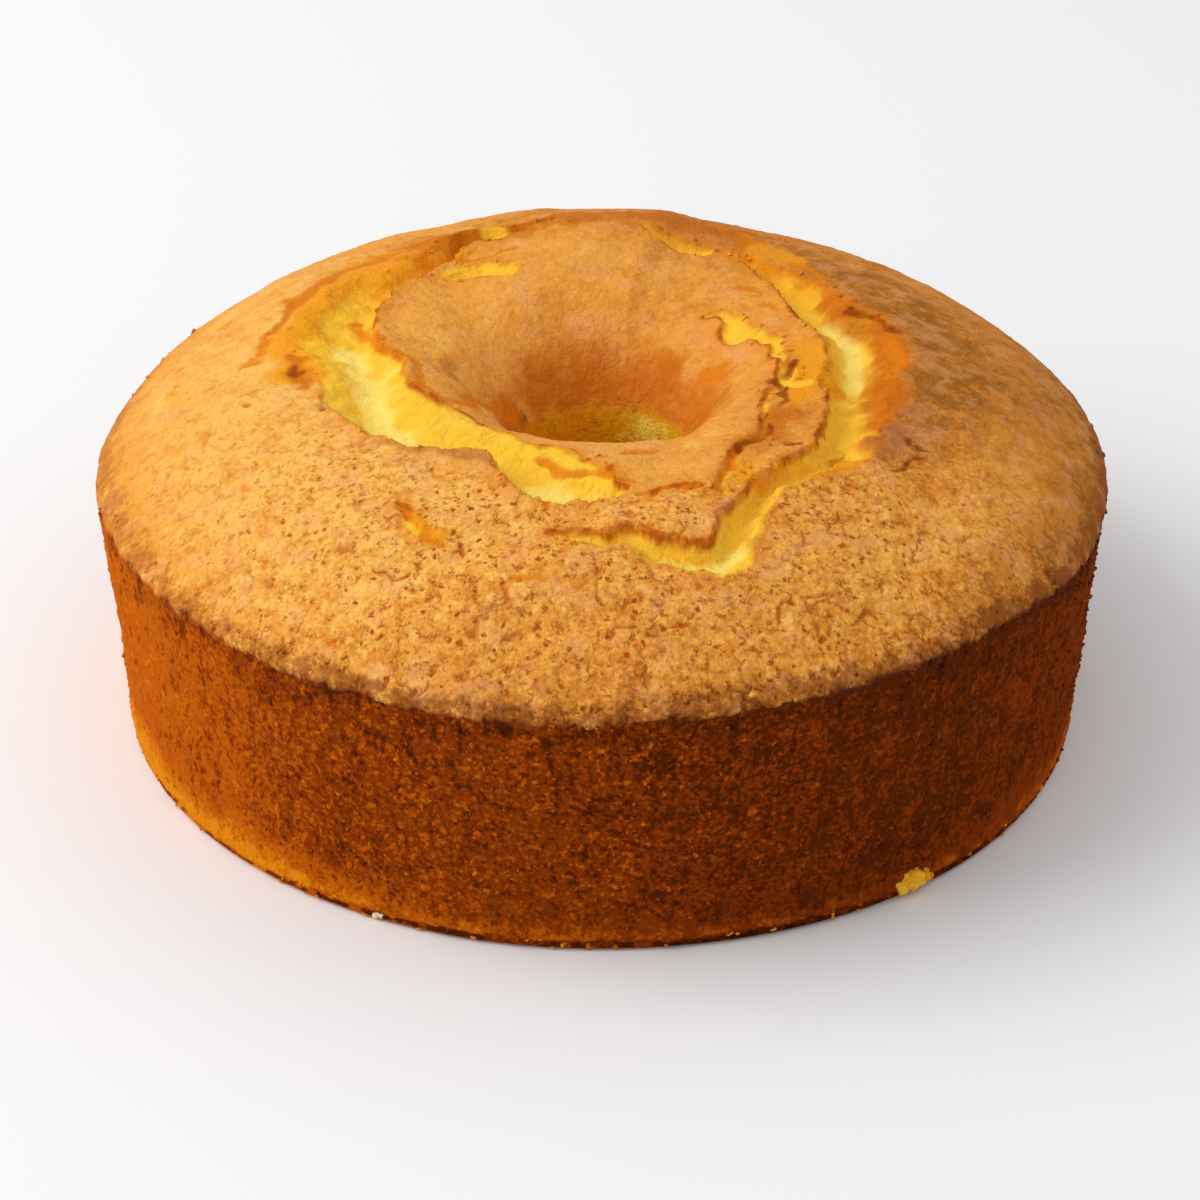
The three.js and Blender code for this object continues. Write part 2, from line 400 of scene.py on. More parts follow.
def onTop(angle, radius):  # the same for a single point
    return radius * math.cos(math.radians(angle)), radius * math.sin(math.radians(angle))


def tearPath(stations):  # evenly curved middle line: x, y, half width, lean
    points = np.array([(*onTop(angle, radius), width / 2, lean) for angle, radius, width, lean in stations])
    padded = np.vstack([2 * points[0] - points[1], points, 2 * points[-1] - points[-2]])
    line = []
    for k in range(len(points) - 1):
        before, start, end, after = padded[k:k + 4]
        for step in range(tearShape["pathDivisions"]):
            t = step / tearShape["pathDivisions"]
            line.append(0.5 * (2 * start + (end - before) * t
                               + (2 * before - 5 * start + 4 * end - after) * t ** 2
                               + (3 * start - before - 3 * end + after) * t ** 3))
    line.append(points[-1])
    return np.array(line)


def nearestOn(px, py, start, end):  # share along a straight stretch, and the distance from it
    run = end[:2] - start[:2]
    along = np.clip(((px - start[0]) * run[0] + (py - start[1]) * run[1]) / max(run @ run, 1e-9), 0, 1)
    midX, midY = start[0] + along * run[0], start[1] + along * run[1]
    return along, np.hypot(px - midX, py - midY), np.hypot(midX, midY)


# For each point: mm inside the tear's edge, half its width, the side of its middle line, its lean.
def acrossTear(x, y, line):
    found = [np.full(x.shape, value) for value in (farOutside, 1.0, 0.0, 0.0)]
    around = tearShape["neighbourhood"]
    low, high = line[:, :2].min(0) - around, line[:, :2].max(0) + around
    near = (x > low[0]) & (x < high[0]) & (y > low[1]) & (y < high[1])
    px, py = x[near], y[near]
    away = np.hypot(px, py)
    best = [values[near] for values in found]
    for start, end in zip(line[:-1], line[1:]):
        along, distance, middle = nearestOn(px, py, start, end)
        half = mix(start[2], end[2], along)
        here = (half - distance, half, np.sign(away - middle), mix(start[3], end[3], along))
        closer = here[0] > best[0]
        best = [np.where(closer, new, old) for new, old in zip(here, best)]
    for values, part in zip(found, best):
        values[near] = part
    return found


tearLines = {name: tearPath(tear["stations"]) for name, tear in tears.items()}


# How far inside a tear each point lies, how deep its floor is, how much its lip lifts, and where
# across it the point is: -1 at the inner edge, 0 in the middle, 1 at the outer edge.
def tearAt(edgeX, edgeY):
    shape = tearShape
    torn = np.full(edgeX.shape, farOutside)
    depth, lift, across = np.zeros(edgeX.shape), np.zeros(edgeX.shape), np.zeros(edgeX.shape)
    for name, tear in tears.items():
        inside, half, side, lean = acrossTear(edgeX, edgeY, tearLines[name])
        place = side * (1 - np.clip(inside / half, 0, 1))
        inner = place < lean
        fromEdge = np.where(inner, (place + 1) / (lean + 1), (1 - place) / (1 - lean))
        gentle = np.where(inner, lean + 1, 1 - lean)
        wall = np.maximum(half * gentle, shape["leastWall"])
        wallStart, sloping = shape["wallRange"]
        floor = tear["depth"] * smoothStep(fromEdge * wall, wallStart, wall * sloping)
        floor = floor * smoothStep(half, 0, shape["fullHalfWidth"])
        across = np.where(inside > torn, place, across)
        torn = np.maximum(torn, inside)
        depth = np.maximum(depth, np.where(inside > 0, floor, 0))
        lip = tear["lip"] * np.exp(-(np.minimum(inside, 0) / shape["lipWidth"]) ** 2)
        lip = lip * smoothStep(gentle, *shape["lipFade"])
        lift = np.maximum(lift, np.where(inside < 0, lip, 0))
    return torn, depth, lift, across


def markAt(kind, edgeX, edgeY):  # how strongly one kind of mark on the top shows, from 0 to 1
    shown = np.zeros(edgeX.shape)
    wander = 1 + sum(share * softNoise(edgeX, edgeY, 0.0, size, 41.0) for share, size in markWarp)
    for reach, line in topMarks[kind]["lines"]:
        points = np.array([onTop(angle, radius) for angle, radius in line])
        low, high = points.min(0) - markReach * reach, points.max(0) + markReach * reach
        near = (edgeX > low[0]) & (edgeX < high[0]) & (edgeY > low[1]) & (edgeY < high[1])
        if not near.any():
            continue
        px, py, width = edgeX[near], edgeY[near], reach * wander[near]
        stretches = zip(points[:-1], points[1:])
        distance = np.min([nearestOn(px, py, start, end)[1] for start, end in stretches], 0)
        shown[near] = np.maximum(shown[near], 1 - smoothStep(distance / width, *markFade))
    return shown


def rimAt(angle):
    return (cakeForm["rimRadius"] + aroundRing(cakeForm["rimReach"], angle),
            cakeForm["sideHeight"] + aroundRing(cakeForm["rimRise"], angle))


def throatAt(angle):
    return cakeForm["throatHeight"] + aroundRing(cakeForm["throatRise"], angle)


def topHeight(angle, radius):  # the smooth top
    rim, rimHeight = rimAt(angle)
    crest = cakeForm["crestHeight"] + aroundRing(cakeForm["crestRise"], angle)
    throat = throatAt(angle)
    crestRadius, throatRadius = cakeForm["crestRadius"], cakeForm["throatRadius"]
    outward = np.clip((radius - crestRadius) / (rim - crestRadius), 0, 1)
    inward = np.clip((crestRadius - radius) / (crestRadius - throatRadius), 0, 1)
    shoulder = rimHeight + (crest - rimHeight) * (1 - outward ** 2) ** cakeForm["shoulderFullness"]
    funnel = crest - (crest - throat) * inward ** cakeForm["funnelFullness"]
    return np.where(radius > crestRadius, shoulder, funnel)


def holeRadiusAt(angle, height):
    down = np.clip(1 - height / throatAt(angle), 0, 1)
    return mix(cakeForm["throatRadius"], cakeForm["holeBaseRadius"], down ** cakeForm["holeFlare"])


def anglesOf(grid):  # one row of points for each
    return np.arange(grid["angleSteps"])[:, None] * 360.0 / grid["angleSteps"]


def joined(angle, stretches):  # the points of all stretches, each given as its distances and heights
    radius, height = (np.concatenate(values, 1) for values in zip(*stretches))
    return np.stack([*inPlan(angle, radius), height], -1)


# The top crust as a thick lid: its hidden underside, the lip over the rim, the risen and torn top,
# and the first stretch down the hole. Rows are angles. The second result is 1 where a point shows.
def topCrustPoints():
    form, grid = cakeForm, topMesh
    angle = anglesOf(grid)
    rim, rimHeight = rimAt(angle)
    throat = throatAt(angle)
    throatEnd = throat - grid["throatReach"]

    under = np.linspace(0, 1, grid["underRings"])[None]
    fromHole, fromRim = grid["underInset"]
    underR = mix(form["throatRadius"] + fromHole, rim - fromRim, under)
    underZ = mix(throatEnd, topHeight(angle, underR) - grid["thickness"], smoothStep(under, -0.2, 0.4))

    rimX, rimY = inPlan(angle, rim)
    bends, tatters = grid["lipNoise"]
    ragged = softNoise(rimX, rimY, 0.0, bends, 2.0) + 0.8 * softNoise(rimX, rimY, 0.0, tatters, 6.0)
    drop = mix(*grid["lipDrop"], 0.5 + 0.5 * np.clip(ragged, -1, 1))
    reach = mix(*grid["lipReach"], 0.5 + 0.5 * softNoise(rimX, rimY, 0.0, 4.0, 17.0))
    lipR = np.concatenate([rim - grid["lipTuck"], rim + grid["lipRound"] * reach, rim + reach], 1)
    lipZ = rimHeight - np.concatenate([drop + grid["lipUnder"], drop, grid["lipRound"] * drop], 1)

    inward = np.linspace(0, 1, grid["topRings"])[None]
    radius = mix(form["rimRadius"], form["throatRadius"], inward ** grid["topCrowding"]) + 0 * angle
    belt = smoothStep(radius, form["beltOuterRadius"], form["rimRadius"])
    topR = radius + (rim - form["rimRadius"]) * belt
    x, y = inPlan(angle, radius)
    fromEdges = np.minimum(form["rimRadius"] - radius, radius - form["throatRadius"])
    wave = swell(angle + radius) * smoothStep(fromEdges, 0, form["swellEdge"])
    edgeX, edgeY = warped(x, y)
    _, depth, lift, _ = tearAt(edgeX, edgeY)
    for plateAngle, plateRadius, spread, rise in plates:
        plateX, plateY = onTop(plateAngle, plateRadius)
        lift = lift + rise * np.exp(-((x - plateX) ** 2 + (y - plateY) ** 2) / spread ** 2)
    for kind, mark in topMarks.items():
        if mark["groove"]:
            depth = depth + mark["groove"] * markAt(kind, edgeX, edgeY)
    topZ = topHeight(angle, topR) + wave + lift - depth

    down = np.linspace(0, 1, grid["holeRings"] + 1)[None, 1:]
    holeZ = mix(throat, throatEnd, down)
    holeR = holeRadiusAt(angle, holeZ)
    outward, lower = grid["tail"]
    points = joined(angle, [(underR + 0 * angle, underZ), (lipR, lipZ), (topR, topZ), (holeR, holeZ),
                            (holeR[:, -1:] + outward, throatEnd - lower)])
    shown = np.ones(points.shape[:2])
    shown[:, :underR.shape[1] + 1] = 0
    shown[:, -1] = 0
    return points, shown


# The browned side, the base and the hole, closed by a cap that stays hidden under the top crust.
def sideCrustPoints():
    form, grid = cakeForm, sideMesh
    angle = anglesOf(grid)
    base = form["baseRadius"] + aroundRing(form["baseReach"], angle)
    rim, rimHeight = rimAt(angle)
    corner, holeEdge = form["baseCornerRadius"], form["holeBaseRadius"]

    across = np.linspace(0, 1, grid["baseRings"], endpoint=False)[None]
    baseR = mix(holeEdge, base - corner, across)
    baseX, baseY = inPlan(angle, baseR)
    arch = smoothStep(np.minimum(baseR - holeEdge, base - corner - baseR), 0, grid["archReach"])
    baseZ = grid["baseRise"] * arch * (1 + 0.4 * softNoise(baseX, baseY, 0.0, 9.0, 31.0))
    turn = np.linspace(0, math.pi / 2, grid["cornerRings"], endpoint=False)[None]
    cornerR, cornerZ = base - corner * (1 - np.sin(turn)), corner * (1 - np.cos(turn)) + 0 * angle

    up = np.linspace(0, 1, grid["sideRings"])[None]
    sideZ = mix(corner, rimHeight - grid["rimGap"], up)
    wave = swell(angle * 2 + sideZ) * np.sin(math.pi * sideZ / rimHeight)
    sideR = mix(base, rim, (sideZ / rimHeight) ** form["sideFlare"]) + wave
    x, y = inPlan(angle, sideR)
    broken = smoothStep(softNoise(x, y, 0 * x, 9.0, 51.0), -0.25, 0.25)
    gapZ = grid["footGrooveHeight"] + 0.5 * softNoise(x, y, 0 * x, 6.0, 12.0)
    groove = np.exp(-((sideZ - gapZ) / grid["footGrooveWidth"]) ** 2)
    sideR = sideR - grid["footGroove"] * groove * broken

    inward = np.linspace(0, 1, grid["capRings"] + 1)[None, 1:]
    throatEnd = throatAt(angle) - topMesh["throatReach"]
    fromRim, fromHole = grid["capInset"]
    shallow, deep = grid["capDepth"]
    capR = mix(rim - fromRim, holeRadiusAt(angle, throatEnd) + fromHole, inward ** grid["capCrowding"])
    sunk = shallow + (deep - shallow) * smoothStep(rim - capR, 0, grid["capReach"])
    risen = smoothStep(capR, *grid["capRise"])
    capZ = mix(throatEnd + grid["capFoot"], topHeight(angle, capR) - sunk, risen)

    down = np.linspace(0, 1, grid["holeRings"] + 1)[None, :-1]
    overlap, stepBack = grid["holeOverlap"]
    holeZ = mix(throatEnd + overlap, 0, down) + 0 * angle
    holeR = holeRadiusAt(angle, holeZ)
    holeR[:, :1] += stepBack

    points = joined(angle, [(baseR, baseZ), (cornerR, cornerZ), (sideR, sideZ), (capR, capZ), (holeR, holeZ)])
    shown = np.ones(points.shape[:2])
    first = baseR.shape[1] + cornerR.shape[1] + sideR.shape[1]
    shown[:, :baseR.shape[1]] = 0
    shown[:, first:first + capR.shape[1]] = 0
    return points, shown


def closedGridMesh(name, points):  # both ways round the grid close on themselves
    rows, columns = points.shape[:2]
    here = np.arange(rows * columns).reshape(rows, columns)
    there = np.roll(here, -1, 0)
    quads = np.stack([here, there, np.roll(there, -1, 1), np.roll(here, -1, 1)], -1).reshape(-1, 4)
    mesh = bpy.data.meshes.new(name)
    mesh.vertices.add(rows * columns)
    mesh.vertices.foreach_set("co", (points * mm).ravel())
    mesh.loops.add(quads.size)
    mesh.loops.foreach_set("vertex_index", quads.ravel())
    mesh.polygons.add(len(quads))
    mesh.polygons.foreach_set("loop_start", np.arange(0, quads.size, 4))
    mesh.update(calc_edges=True)
    mesh.validate()
    return mesh


def addObject(name, mesh):
    thing = bpy.data.objects.new(name, mesh)
    bpy.context.scene.collection.objects.link(thing)
    return thing


def setFloat(mesh, name, values):
    if name in mesh.attributes:
        mesh.attributes.remove(mesh.attributes[name])
    mesh.attributes.new(name, "FLOAT", "POINT").data.foreach_set("value", values.astype(np.float32).ravel())


def pointsOf(mesh):
    points = np.empty(len(mesh.vertices) * 3, np.float32)
    mesh.vertices.foreach_get("co", points)
    return points.reshape(-1, 3).astype(float) / mm


def polarPoints(mesh):  # x, y and z, and the angle and distance from the middle
    x, y, z = pointsOf(mesh).T
    return x, y, z, np.degrees(np.arctan2(y, x)), np.hypot(x, y)


def evaluated(thing):  # the modifiers' result as a plain mesh
    depsgraph = bpy.context.evaluated_depsgraph_get()
    return bpy.data.meshes.new_from_object(thing.evaluated_get(depsgraph), depsgraph=depsgraph)


def addNode(tree, kind, values=None, **settings):
    node = tree.nodes.new(kind)
    for key, value in settings.items():
        setattr(node, key, value)
    for key, value in (values or {}).items():
        if isinstance(value, bpy.types.NodeSocket):
            tree.links.new(value, node.inputs[key])
        else:
            node.inputs[key].default_value = value
    return node


def combine(tree, operation, first, second=0.0):
    return addNode(tree, "ShaderNodeMath", {0: first, 1: second}, operation=operation).outputs[0]


def vectorMath(tree, operation, values):
    return addNode(tree, "ShaderNodeVectorMath", values, operation=operation).outputs[0]


def product(tree, *factors):
    result = factors[0]
    for factor in factors[1:]:
        result = combine(tree, "MULTIPLY", result, factor)
    return result


def total(tree, *parts):
    result = parts[0]
    for part in parts[1:]:
        result = combine(tree, "ADD", result, part)
    return result


def centred(tree, value, strength):  # noise from 0 to 1 as a swing about 0
    return product(tree, combine(tree, "SUBTRACT", value, 0.5), strength)


def ramp(tree, value, low, high, toLow=0.0, toHigh=1.0):
    return addNode(tree, "ShaderNodeMapRange",
                   {"Value": value, "From Min": low, "From Max": high, "To Min": toLow, "To Max": toHigh},
                   interpolation_type="SMOOTHSTEP").outputs[0]


def blend(tree, share, first, second):
    node = tree.nodes.new("ShaderNodeMix")
    node.data_type = "RGBA"
    for socket, value in ((node.inputs["Factor"], share), (node.inputs[6], first), (node.inputs[7], second)):
        if isinstance(value, bpy.types.NodeSocket):
            tree.links.new(value, socket)
        elif isinstance(value, tuple):
            socket.default_value = (*value, 1.0)
        else:
            socket.default_value = value
    return node.outputs[2]


def layered(tree, tone, first, bands):  # each colour gives way to the next as the tone grows
    colour = palette[first]
    for low, high, tint in bands:
        colour = blend(tree, ramp(tree, tone, low, high), colour, palette[tint])
    return colour


def noiseOf(tree, place, size, detail=3.0, rough=0.55):  # size in mm
    settings = {"Vector": place, "Scale": 1 / (size * mm), "Detail": detail, "Roughness": rough}
    return addNode(tree, "ShaderNodeTexNoise", settings).outputs[0]


def cellsOf(tree, place, size):  # size in mm: the distance from each cell's middle, and its own number
    node = addNode(tree, "ShaderNodeTexVoronoi", {"Vector": place, "Scale": 1 / (size * mm)})
    own = addNode(tree, "ShaderNodeSeparateXYZ", {0: node.outputs["Color"]})
    return node.outputs["Distance"], own.outputs[0]


# The same place with its height squeezed, so that a pattern runs upright.
def stretched(tree, place, share):
    return vectorMath(tree, "MULTIPLY", {0: place, 1: (1.0, 1.0, share)})


def srgb(red, green, blue):  # a colour as seen on screen, 0 to 255, as the shader's linear one
    return tuple(c / 12.92 if c <= 0.04045 else ((c + 0.055) / 1.055) ** 2.4
                 for c in (red / 255, green / 255, blue / 255))


# The pattern of the risen crust, in mm. Shakes are the size and the reach of the noise that bends it.
crustPattern = {
    "grainSize": 1.9,
    "grainShake": (1.4, 2.2),
    "pitShare": 0.22,  # of the grains
    "dents": (2.0, 3.0, 0.7),  # size, detail and roughness
    "crackCells": 7.0,
    "crackShake": (3.2, 5.0),
    "crackHalfWidth": 0.5,
    "crackPatches": 7.0,
}


# The place moved by noise, so that a pattern of cells turns irregular.
def shaken(tree, place, size, reach):
    noise = addNode(tree, "ShaderNodeTexNoise", {"Vector": place, "Scale": 1 / (size * mm), "Detail": 2.0})
    swing = vectorMath(tree, "SUBTRACT", {0: noise.outputs["Color"], 1: (0.5, 0.5, 0.5)})
    return vectorMath(tree, "MULTIPLY_ADD", {0: swing, 1: (reach * mm,) * 3, 2: place})


# Rounded grains of crust, 1 in their middles, and the pits that replace some of them.
def grainsOf(tree, place):
    pattern = crustPattern
    middle, own = cellsOf(tree, shaken(tree, place, *pattern["grainShake"]), pattern["grainSize"])
    grain = ramp(tree, middle, 0.2, 0.75, 1.0, 0.0)
    pitted = ramp(tree, own, 1 - pattern["pitShare"], 1.03 - pattern["pitShare"])
    return grain, product(tree, pitted, ramp(tree, middle, 0.0, 0.5, 1.0, 0.0))


def specksOf(tree, place):  # small dents of no even shape
    return ramp(tree, noiseOf(tree, place, *crustPattern["dents"]), 0.46, 0.31)


def cracksOf(tree, place):  # crooked cracks between larger plates of crust, in patches
    size = crustPattern["crackCells"]
    bent = shaken(tree, place, *crustPattern["crackShake"])
    edges = addNode(tree, "ShaderNodeTexVoronoi", {"Vector": bent, "Scale": 1 / (size * mm)},
                    feature="DISTANCE_TO_EDGE")
    patches = ramp(tree, noiseOf(tree, place, crustPattern["crackPatches"], 1.0), 0.54, 0.66)
    crack = ramp(tree, edges.outputs["Distance"], 0.01, crustPattern["crackHalfWidth"] / size, 1.0, 0.0)
    return product(tree, crack, patches)


# Relief of the baked surfaces, in mm. The top and the side each have their own sizes.
reliefSizes = {
    "topCrust": {"lumpSize": 11.0, "lumpHeight": 0.5, "grainSize": 2.2, "grainHeight": 0.3, "pitDepth": 0.5,
                 "crackDepth": 0.5, "crumbSize": 3.6, "crumbHeight": 0.9, "granuleHeight": 0.14,
                 "cellSize": 1.7, "cellHeight": 0.0},
    "sideCrust": {"lumpSize": 8.0, "lumpHeight": 0.5, "grainSize": 1.9, "grainHeight": 0.55, "pitDepth": 0.0,
                  "crackDepth": 0.0, "crumbSize": 3.0, "crumbHeight": 0.0, "granuleHeight": 0.0,
                  "cellSize": 1.6, "cellHeight": 0.3},
}

# The top's pattern is looked up at a squeezed height, so that pits and cracks run straight down.
topFlatness = 0.65


def geometryTree(name, kinds):  # a tree, its named inputs, and their sockets' identifiers
    tree = bpy.data.node_groups.new(name, "GeometryNodeTree")
    face = tree.interface
    face.new_socket("Geometry", in_out="INPUT", socket_type="NodeSocketGeometry")
    face.new_socket("Geometry", in_out="OUTPUT", socket_type="NodeSocketGeometry")
    sockets = {key: face.new_socket(key, in_out="INPUT", socket_type="NodeSocket" + kind).identifier
               for key, kind in kinds.items()}
    return tree, tree.nodes.new("NodeGroupInput").outputs, sockets


def finishTree(tree, geometry, material):
    whole = addNode(tree, "GeometryNodeRealizeInstances", {0: geometry})
    painted = addNode(tree, "GeometryNodeSetMaterial", {"Geometry": whole.outputs[0], "Material": material})
    sink = tree.nodes.new("NodeGroupOutput")
    tree.links.new(painted.outputs[0], sink.inputs[0])


def reliefTree():
    kinds = {**dict.fromkeys(reliefSizes["topCrust"], "Float"), "crust": "Material"}
    tree, size, sockets = geometryTree("baked relief", kinds)
    place = addNode(tree, "GeometryNodeInputPosition").outputs[0]
    normal = addNode(tree, "GeometryNodeInputNormal").outputs[0]
    flat = stretched(tree, place, topFlatness)

    def named(name):
        return addNode(tree, "GeometryNodeInputNamedAttribute", {"Name": name}, data_type="FLOAT").outputs[0]

    def scaleOf(name):
        return combine(tree, "DIVIDE", 1000.0, size[name])

    def noise(name, detail):
        found = addNode(tree, "ShaderNodeTexNoise",
                        {"Vector": place, "Scale": scaleOf(name), "Detail": detail})
        return combine(tree, "SUBTRACT", found.outputs[0], 0.5)

    torn = named("torn")
    crust = combine(tree, "SUBTRACT", 1.0, torn)
    lumps = product(tree, noise("lumpSize", 2.0), size["lumpHeight"], 2.0)
    grain = product(tree, noise("grainSize", 2.0), size["grainHeight"], 2.0)
    crumb = product(tree, noise("crumbSize", 2.0), size["crumbHeight"], torn, 2.0)
    cells = addNode(tree, "ShaderNodeTexVoronoi", {"Vector": place, "Scale": scaleOf("cellSize")})
    cell = product(tree, ramp(tree, cells.outputs["Distance"], 0.1, 0.6, 1.0, 0.0), size["cellHeight"])
    grains, pits = grainsOf(tree, flat)
    granule = product(tree, grains, size["granuleHeight"])
    pit = product(tree, total(tree, pits, product(tree, specksOf(tree, flat), 0.6)), size["pitDepth"])
    crack = product(tree, cracksOf(tree, flat), size["crackDepth"])
    sunk = combine(tree, "SUBTRACT", granule, total(tree, pit, crack))
    pattern = product(tree, sunk, crust, named("pitted"))
    height = total(tree, lumps, grain, crumb, cell, pattern)
    aboveFoot = ramp(tree, addNode(tree, "ShaderNodeSeparateXYZ", {0: place}).outputs[2], 0.0003, 0.003)
    height = product(tree, height, aboveFoot, named("shown"), mm)
    offset = vectorMath(tree, "SCALE", {0: normal, "Scale": height})
    moved = addNode(tree, "GeometryNodeSetPosition", {"Geometry": size["Geometry"], "Offset": offset})
    finishTree(tree, moved.outputs[0], size["crust"])
    return tree, sockets


# How dark each part of the cake is, from 0, pale, to 1, dark brown, as pairs of an angle and a share: partly
# how it baked, and on the top and the side partly painted shade, darker on the right away from the light.
bakeAndShade = {
    "innerTop": [(0, 0.42), (30, 0.38), (60, 0.35), (90, 0.33), (120, 0.3), (150, 0.3), (180, 0.32),
                 (210, 0.3), (240, 0.28), (270, 0.25), (300, 0.3), (330, 0.44)],
    "middleTop": [(10, 0.95), (40, 0.85), (65, 0.75), (90, 0.5), (115, 0.4), (140, 0.25), (160, 0.12),
                  (180, 0.0), (225, 0.05), (250, 0.14), (270, 0.18), (290, 0.34), (310, 0.4), (330, 0.75),
                  (350, 0.95)],
    "outerTop": [(0, 0.75), (30, 0.65), (60, 0.62), (90, 0.6), (120, 0.35), (150, 0.14), (200, 0.06),
                 (225, 0.06), (245, 0.19), (262, 0.36), (285, 0.34), (300, 0.26), (322, 0.28), (340, 0.5)],
    "rimTop": [(0, 0.85), (90, 0.7), (140, 0.45), (180, 0.45), (200, 0.42), (220, 0.3), (250, 0.4),
               (270, 0.55), (300, 0.45), (322, 0.8), (345, 0.88)],
    "side": [(0, 0.72), (60, 0.65), (120, 0.5), (180, 0.12), (205, 0.24), (222, 0.35), (240, 0.53),
             (262, 0.58), (290, 0.77), (308, 0.84), (330, 0.76), (345, 0.72)],
    "foot": [(0, -0.1), (180, -0.25), (205, -0.35), (225, -0.4), (240, -0.25), (260, -0.06), (290, 0.0),
             (312, -0.12), (328, -0.28), (345, -0.15)],
    "hole": [(0, 0.35), (38, 0.15), (56, -0.25), (70, 0.1), (95, 0.55), (125, 0.6), (180, 0.3), (270, 0.3)],
}
bakeAndShadeRadii = {"innerTop": 45.0, "middleTop": 78.0, "outerTop": 104.0, "rimTop": 118.0}

# Pairs of an angle and how wide the browned band along the rim is, in mm, or how strong the grain is.
rimBandWidth = [(0, 5), (90, 5), (180, 7), (200, 7), (216, 4.6), (238, 4.2), (252, 3.4), (266, 3.2),
                (278, 4.6), (296, 5), (314, 4.6), (330, 4.8)]
sideGrain = [(0, 0.5), (90, 0.6), (180, 0.3), (205, 0.4), (225, 0.6), (246, 0.9), (276, 0.95), (298, 0.7),
             (325, 0.5)]
topGrain = [(0, 0.2), (90, 0.12), (180, 0.2), (205, 0.4), (230, 0.75), (250, 1.0), (305, 1.0), (325, 0.65),
            (345, 0.3)]


# Where the parts of the surface begin and end, in mm.
zones = {
    "topAbove": 60.0,
    "holeWithin": 45.0,
    "baseBelow": 1.2,
    "sideBeyond": 80.0,
    "deepestSunk": 8.0,
    "foot": (4, 16),
    "calmWithin": (58, 72),
    "rimBandEnd": 0.5,
}


# How torn, how dark (browned, and partly painted shade) and how deep each point lies, for the materials and
# for scattering crumbs.
def markFinishes(mesh):
    x, y, z, angle, radius = polarPoints(mesh)
    rim, rimHeight = rimAt(angle)
    edgeX, edgeY = warped(x, y)
    upper = (radius > cakeForm["throatRadius"] - 0.5) & (z > zones["topAbove"])
    torn, _, _, across = tearAt(edgeX, edgeY)
    sunk = np.clip(topHeight(angle, radius) - z, 0, zones["deepestSunk"])  # walls count by their depth
    torn = np.where(upper, torn + sunk * smoothStep(torn, -0.4, 0.6), farOutside)
    bakeAndShadeTop = aroundRing(bakeAndShade["innerTop"], angle)
    for nearer, farther in zip(list(bakeAndShadeRadii)[:-1], list(bakeAndShadeRadii)[1:]):
        share = smoothStep(radius, bakeAndShadeRadii[nearer], bakeAndShadeRadii[farther])
        bakeAndShadeTop = mix(bakeAndShadeTop, aroundRing(bakeAndShade[farther], angle), share)
    foot = aroundRing(bakeAndShade["foot"], angle) * (1 - smoothStep(z, *zones["foot"]))
    belowRim = np.where(radius > zones["sideBeyond"], rimHeight - z, farOutside)
    hole = (radius < zones["holeWithin"]) & (z > zones["baseBelow"])
    bandStart, bandEnd = rim - aroundRing(rimBandWidth, angle), rim - zones["rimBandEnd"]
    outer = smoothStep(radius, *zones["calmWithin"])
    masks = {
        "torn": smoothStep(torn, -0.3, 1.2),
        "tornEdge": np.clip(torn, -12, 12),
        "across": across,
        "belowRim": belowRim,
        "inHole": np.where(hole, cakeForm["throatHeight"] - z, farOutside),
        "bakeAndShadeTop": bakeAndShadeTop,
        "rimBand": smoothStep(radius, bandStart, bandEnd),
        "grainy": aroundRing(sideGrain, angle),
        "pitted": mix(0.15, aroundRing(topGrain, angle), outer),
        "bakeAndShadeSide": aroundRing(bakeAndShade["side"], angle) + foot,
        "bakeHole": aroundRing(bakeAndShade["hole"], angle),
    }
    for kind in topMarks:
        masks[kind] = np.where(upper, markAt(kind, edgeX, edgeY), 0)
    for name, values in masks.items():
        setFloat(mesh, name, values)


palette = {  # as seen on screen
    "paleGold": srgb(248, 188, 92),
    "gold": srgb(234, 160, 64),
    "tan": srgb(210, 132, 48),
    "brownTop": srgb(156, 96, 30),
    # pinkish crust colour, partly painted highlight
    "blushHighlight": srgb(238, 168, 108),
    "toast": srgb(170, 98, 50),
    # pit colours: partly browner crust, partly painted shade in the hollows
    "rimPitBrownAndShade": srgb(122, 54, 12),
    "rimBrown": srgb(140, 68, 22),
    "rimGold": srgb(200, 120, 46),
    "pitBrownAndShade": srgb(184, 86, 16),
    "golden": srgb(238, 154, 26),
    "rust": srgb(200, 105, 14),
    "halo": srgb(228, 138, 38),
    # partly the browned crust edge, partly painted shadow under the crust's overhang
    "tornRimAndShadow": srgb(186, 84, 8),
    "sideGold": srgb(224, 136, 18),
    "sideOrange": srgb(192, 92, 8),
    "sideBrown": srgb(136, 54, 5),
    "sideDark": srgb(88, 34, 4),
    "sideBlack": srgb(42, 16, 3),
    "crumbPale": srgb(255, 226, 112),
    "crumbYellow": srgb(250, 196, 54),
    "crumbOrange": srgb(222, 124, 14),
    "scorch": srgb(134, 52, 6),
    # down the hole: the crumb's yellow and brown, made brighter as painted light in the hole's shade
    "holeWall": srgb(250, 176, 38),
    "holeOlive": srgb(240, 184, 28),
    "holeBrown": srgb(244, 166, 28),
    "holeCrumb": srgb(255, 234, 92),
    "whiteCrumb": srgb(235, 232, 205),
}


def attributeOf(tree, name):
    return addNode(tree, "ShaderNodeAttribute", attribute_name=name).outputs["Fac"]


# A share that its own noise breaks up, and that stays 0 where it is 0.
def speckled(tree, value, *swings):
    return product(tree, value, total(tree, 1.0, *swings))


